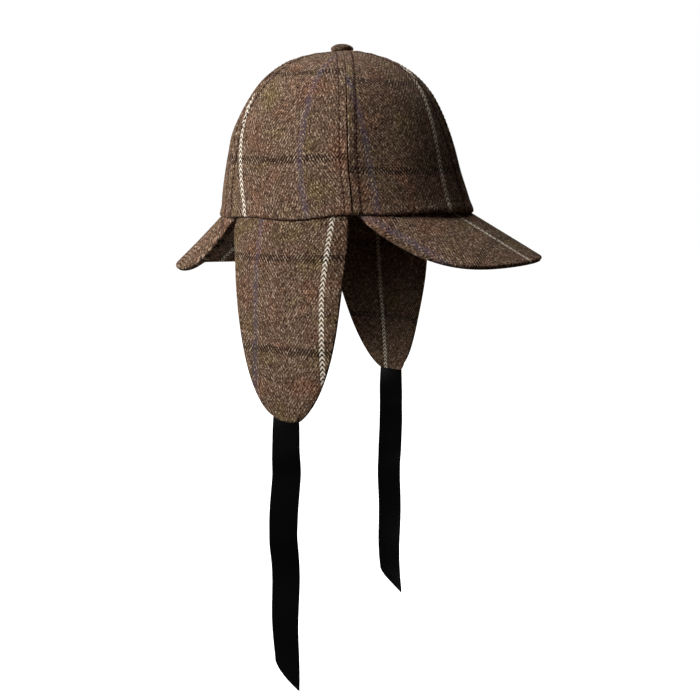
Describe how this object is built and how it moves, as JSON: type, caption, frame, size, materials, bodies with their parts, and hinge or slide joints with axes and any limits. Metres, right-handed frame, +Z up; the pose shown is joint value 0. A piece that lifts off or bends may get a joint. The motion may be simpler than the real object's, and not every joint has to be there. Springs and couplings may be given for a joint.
{
  "type": "deerstalker hat",
  "caption": "Tweed deerstalker hat with a panelled crown, covered top button, stiff front and back peaks, and hanging ear flaps tied by black satin ribbons.",
  "frame": {"origin": "middle of the head opening, at the mean height of the crown's hem, where the hat sits on a head", "axes": "+Z up through the crown, the front peak points to -Y, +X towards the wearer's left"},
  "size_m": [0.1959, 0.3207, 0.507],
  "materials": {
    "tweed": "brown wool tweed with a pale and a slate stripe",
    "satin": "black satin ribbon"
  },
  "bodies": {
    "root": {"crown_front_right": "tweed", "crown_front_left": "tweed", "crown_side_right": "tweed", "crown_side_left": "tweed", "crown_rear_right": "tweed", "crown_rear_left": "tweed", "top_button": "tweed", "front_peak": "tweed", "back_peak": "tweed", "ear_flap_right": "tweed", "ear_flap_left": "tweed", "ribbon_right": "satin", "ribbon_left": "satin"}
  },
  "joints": []
}
